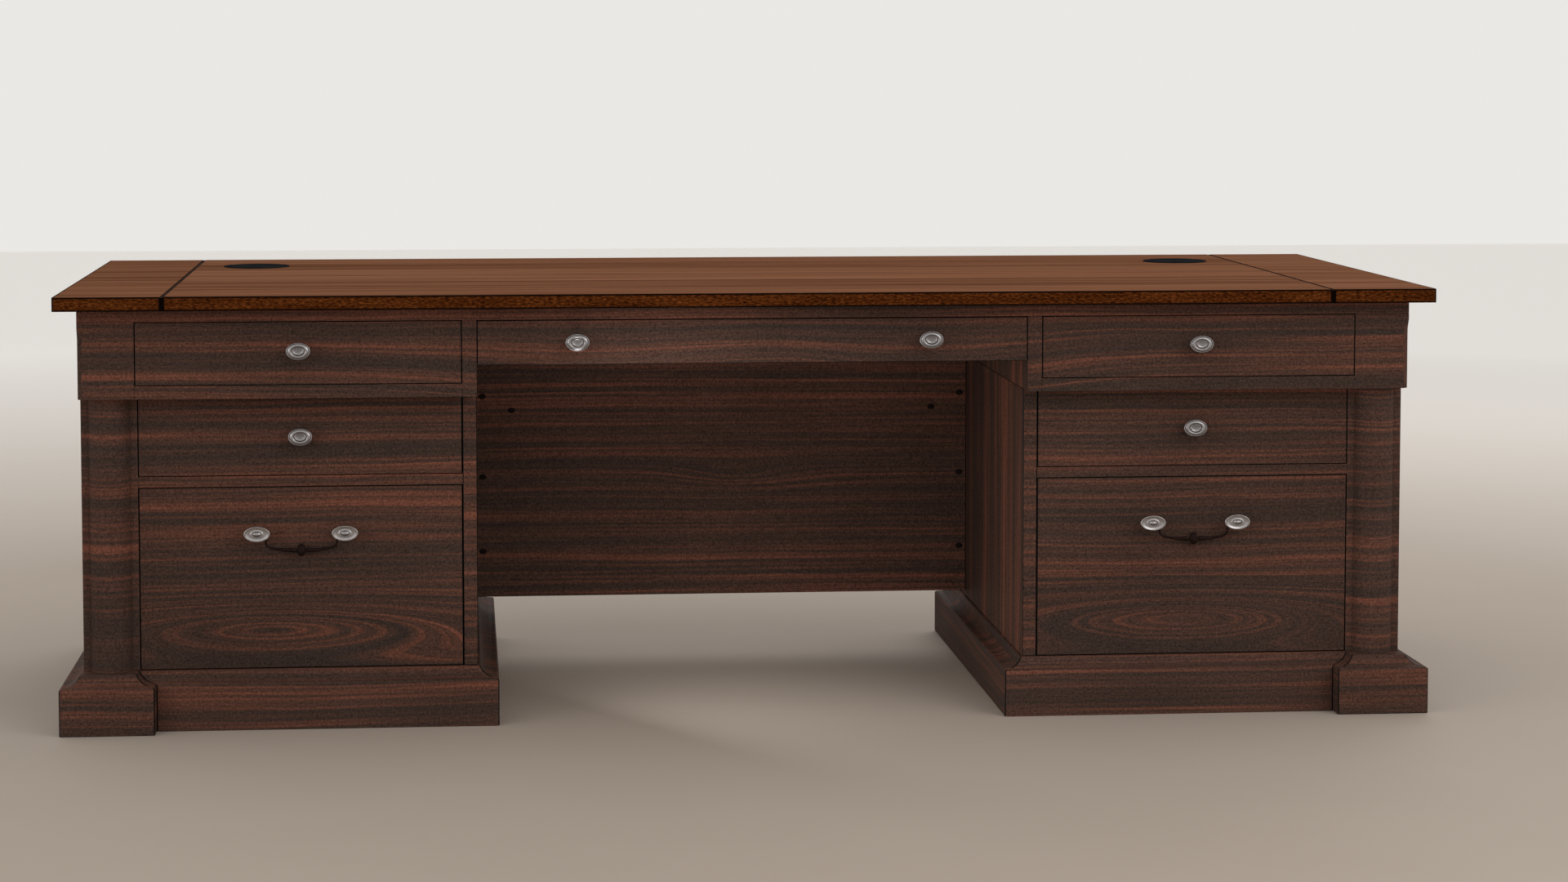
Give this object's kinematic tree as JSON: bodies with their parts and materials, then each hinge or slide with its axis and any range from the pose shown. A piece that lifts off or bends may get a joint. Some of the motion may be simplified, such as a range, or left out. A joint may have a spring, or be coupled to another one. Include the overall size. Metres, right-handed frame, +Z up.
{
  "type": "executive desk",
  "caption": "Wide two-tone wooden executive desk: two column-cornered drawer pedestals on coved plinths under a top with cable grommets.",
  "frame": {"origin": "on the floor under the middle of the desk", "axes": "+X to the right of someone sitting at the desk, +Y away from them towards its back, +Z up"},
  "size_m": [2.413, 1.043, 0.7642],
  "materials": {
    "top_wood": "satin walnut veneer",
    "dark_wood": "satin dark rosewood veneer",
    "inlay": "satin near-black strip",
    "drawer_wood": "clear sealed",
    "nickel": "satin antique nickel",
    "bronze": "dark bronze",
    "black_plastic": "matte black"
  },
  "bodies": {
    "desk": {"top_center_panel": "top_wood", "front_top_rail": "dark_wood", "back_apron": "dark_wood", "modesty_panel": "dark_wood", "top_end_left": "top_wood", "inlay_strip_left": "inlay", "grommet_liner_left": "black_plastic", "upper_side_inner_left": "dark_wood", "upper_side_outer_left": "dark_wood", "upper_corner_post_left": "dark_wood", "upper_floor_left": "dark_wood", "pedestal_side_inner_left": "dark_wood", "pedestal_side_outer_left": "dark_wood", "pedestal_back_left": "dark_wood", "pedestal_divider_left": "dark_wood", "column_left": "dark_wood", "plinth_base_left": "dark_wood", "plinth_block_left": "dark_wood", "top_end_right": "top_wood", "inlay_strip_right": "inlay", "grommet_liner_right": "black_plastic", "upper_side_inner_right": "dark_wood", "upper_side_outer_right": "dark_wood", "upper_corner_post_right": "dark_wood", "upper_floor_right": "dark_wood", "pedestal_side_inner_right": "dark_wood", "pedestal_side_outer_right": "dark_wood", "pedestal_back_right": "dark_wood", "pedestal_divider_right": "dark_wood", "column_right": "dark_wood", "plinth_base_right": "dark_wood", "plinth_block_right": "dark_wood"},
    "center_drawer": {"center_drawer_front": "dark_wood", "center_drawer_box": "drawer_wood", "center_drawer_knob_left": "nickel", "center_drawer_knob_right": "nickel"},
    "top_drawer_left": {"top_drawer_front_left": "dark_wood", "top_drawer_box_left": "drawer_wood", "top_drawer_knob_left": "nickel"},
    "middle_drawer_left": {"middle_drawer_front_left": "dark_wood", "middle_drawer_box_left": "drawer_wood", "middle_drawer_knob_left": "nickel"},
    "file_drawer_left": {"file_drawer_front_left": "dark_wood", "file_drawer_box_left": "drawer_wood", "bail_post_left_inner": "nickel", "bail_post_left_outer": "nickel"},
    "bail_left": {"bail_handle_left": "bronze"},
    "grommet_cap_left": {"grommet_cap_left": "black_plastic"},
    "top_drawer_right": {"top_drawer_front_right": "dark_wood", "top_drawer_box_right": "drawer_wood", "top_drawer_knob_right": "nickel"},
    "middle_drawer_right": {"middle_drawer_front_right": "dark_wood", "middle_drawer_box_right": "drawer_wood", "middle_drawer_knob_right": "nickel"},
    "file_drawer_right": {"file_drawer_front_right": "dark_wood", "file_drawer_box_right": "drawer_wood", "bail_post_right_inner": "nickel", "bail_post_right_outer": "nickel"},
    "bail_right": {"bail_handle_right": "bronze"},
    "grommet_cap_right": {"grommet_cap_right": "black_plastic"}
  },
  "joints": [
    {"name": "center_drawer_slide", "type": "slide", "parent": "desk", "child": "center_drawer", "axis": [0, -1, 0], "range_m": [0, 0.33]},
    {"name": "top_drawer_slide_left", "type": "slide", "parent": "desk", "child": "top_drawer_left", "axis": [0, -1, 0], "range_m": [0, 0.45]},
    {"name": "middle_drawer_slide_left", "type": "slide", "parent": "desk", "child": "middle_drawer_left", "axis": [0, -1, 0], "range_m": [0, 0.44]},
    {"name": "file_drawer_slide_left", "type": "slide", "parent": "desk", "child": "file_drawer_left", "axis": [0, -1, 0], "range_m": [0, 0.5]},
    {"name": "bail_swing_left", "type": "hinge", "parent": "file_drawer_left", "child": "bail_left", "pos_m": [-0.79125, -0.4388, 0.342], "axis": [-1, 0, 0], "range_deg": [0, 35]},
    {"name": "grommet_cap_turn_left", "type": "hinge", "parent": "desk", "child": "grommet_cap_left", "pos_m": [-0.905, 0.299, 0.762], "axis": [0, 0, 1], "range_deg": [-180, 180]},
    {"name": "top_drawer_slide_right", "type": "slide", "parent": "desk", "child": "top_drawer_right", "axis": [0, -1, 0], "range_m": [0, 0.45]},
    {"name": "middle_drawer_slide_right", "type": "slide", "parent": "desk", "child": "middle_drawer_right", "axis": [0, -1, 0], "range_m": [0, 0.44]},
    {"name": "file_drawer_slide_right", "type": "slide", "parent": "desk", "child": "file_drawer_right", "axis": [0, -1, 0], "range_m": [0, 0.5]},
    {"name": "bail_swing_right", "type": "hinge", "parent": "file_drawer_right", "child": "bail_right", "pos_m": [0.79125, -0.4388, 0.342], "axis": [-1, 0, 0], "range_deg": [0, 35]},
    {"name": "grommet_cap_turn_right", "type": "hinge", "parent": "desk", "child": "grommet_cap_right", "pos_m": [0.905, 0.299, 0.762], "axis": [0, 0, 1], "range_deg": [-180, 180]}
  ]
}
